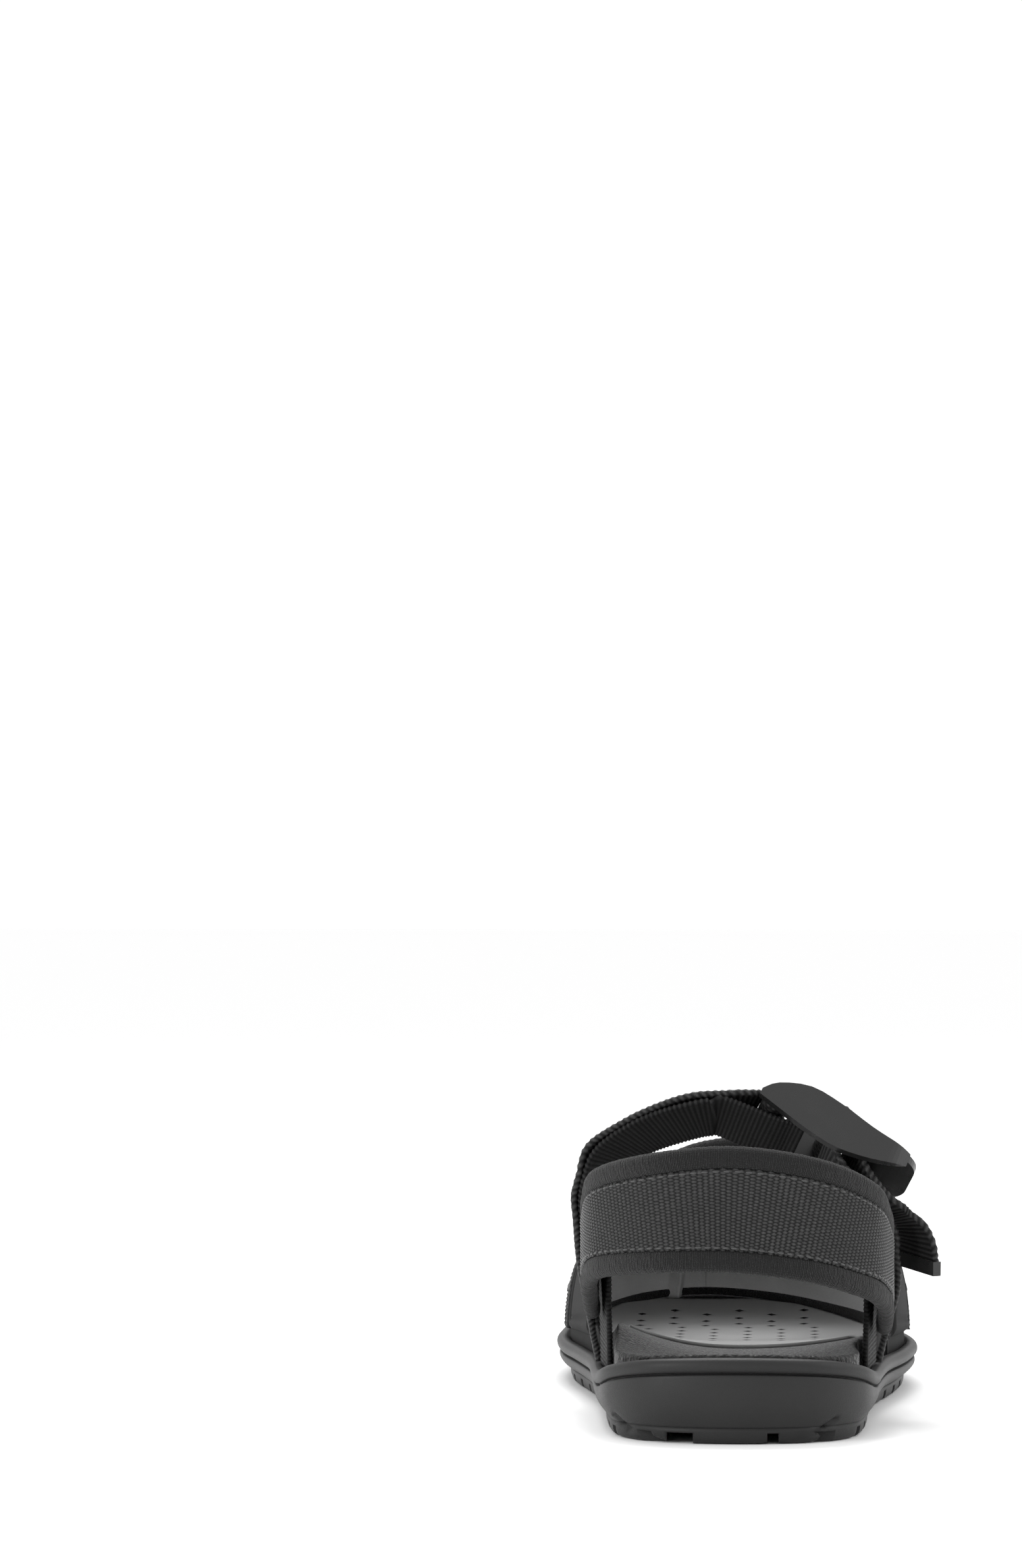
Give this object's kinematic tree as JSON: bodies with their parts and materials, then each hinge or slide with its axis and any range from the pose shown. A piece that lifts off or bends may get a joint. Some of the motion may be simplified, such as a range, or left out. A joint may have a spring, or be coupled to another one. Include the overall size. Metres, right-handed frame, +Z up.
{
  "type": "sport sandal",
  "caption": "Sport sandal for the right foot: closed soft vamp, buckled instep strap and a padded sling-back heel strap that tilts on its anchors.",
  "frame": {"origin": "middle of the sandal's box on the floor", "axes": "+Y from heel to toe, +X to the outer side of the right foot, +Z up"},
  "size_m": [0.1118, 0.288, 0.0936],
  "materials": {
    "outsole_rubber": "moulded rubber, fine matte texture",
    "midsole_foam": "moulded foam rubber, satin with a fine grain",
    "shank": "plain moulded nylon",
    "footbed": "pebbled soft foam",
    "footbed_sheet": "smooth satin, perforated",
    "nubuck": "brushed nubuck",
    "lining": "brushed microfibre",
    "binding": "fine stretch knit",
    "bumper_rubber": "matte rubber",
    "webbing": "woven polyester webbing",
    "thread": "bonded polyester thread",
    "anchor_webbing": "ribbed webbing",
    "heel_lining": "brushed knit over foam",
    "heel_webbing": "coarse woven webbing with bright yarn floats",
    "buckle_plastic": "matte moulded acetal, glossier on its worn edges",
    "buckle_bar": "matte moulded acetal",
    "tip_plastic": "fused, pressed webbing end"
  },
  "bodies": {
    "sole_and_upper": {"outsole": "outsole_rubber", "midsole": "midsole_foam", "shank": "shank", "footbed": "footbed", "footbed_sheet": "footbed_sheet", "vamp_shell": "nubuck", "vamp_lining": "lining", "vamp_binding": "binding", "toe_bumper": "bumper_rubber", "panel_medial": "nubuck", "panel_lateral": "nubuck", "forefoot_webbing": "webbing", "forefoot_bartacks": "thread", "heel_anchor_medial": "anchor_webbing", "heel_anchor_lateral": "anchor_webbing", "instep_webbing": "webbing", "instep_underlay": "anchor_webbing", "instep_loop": "webbing", "buckle_anchor": "webbing"},
    "heel_strap": {"heel_pad": "heel_lining", "heel_webbing": "heel_webbing", "heel_binding_top": "binding", "heel_binding_bottom": "binding", "heel_bartacks": "thread"},
    "buckle": {"buckle_frame": "buckle_plastic", "buckle_hinge_bar": "buckle_bar", "buckle_loop_bar": "buckle_bar", "strap_loop": "webbing", "tail_lead": "webbing"},
    "strap_tail_body": {"strap_tail": "webbing", "tail_tip": "tip_plastic"}
  },
  "joints": [
    {"name": "heel_strap_tilt", "type": "hinge", "parent": "sole_and_upper", "child": "heel_strap", "pos_m": [-0.00083, -0.068, 0.036], "axis": [-1, 0, 0], "range_deg": [-13, 30]},
    {"name": "buckle_lift", "type": "hinge", "parent": "sole_and_upper", "child": "buckle", "pos_m": [0.00802, -0.05103, 0.08364], "axis": [0.1834, -0.8829, 0.4322], "range_deg": [0, 40]},
    {"name": "tail_swing", "type": "hinge", "parent": "buckle", "child": "strap_tail_body", "pos_m": [0.03737, -0.0554, 0.0586], "axis": [0.26, -0.93, 0.26], "range_deg": [0, 25]}
  ]
}
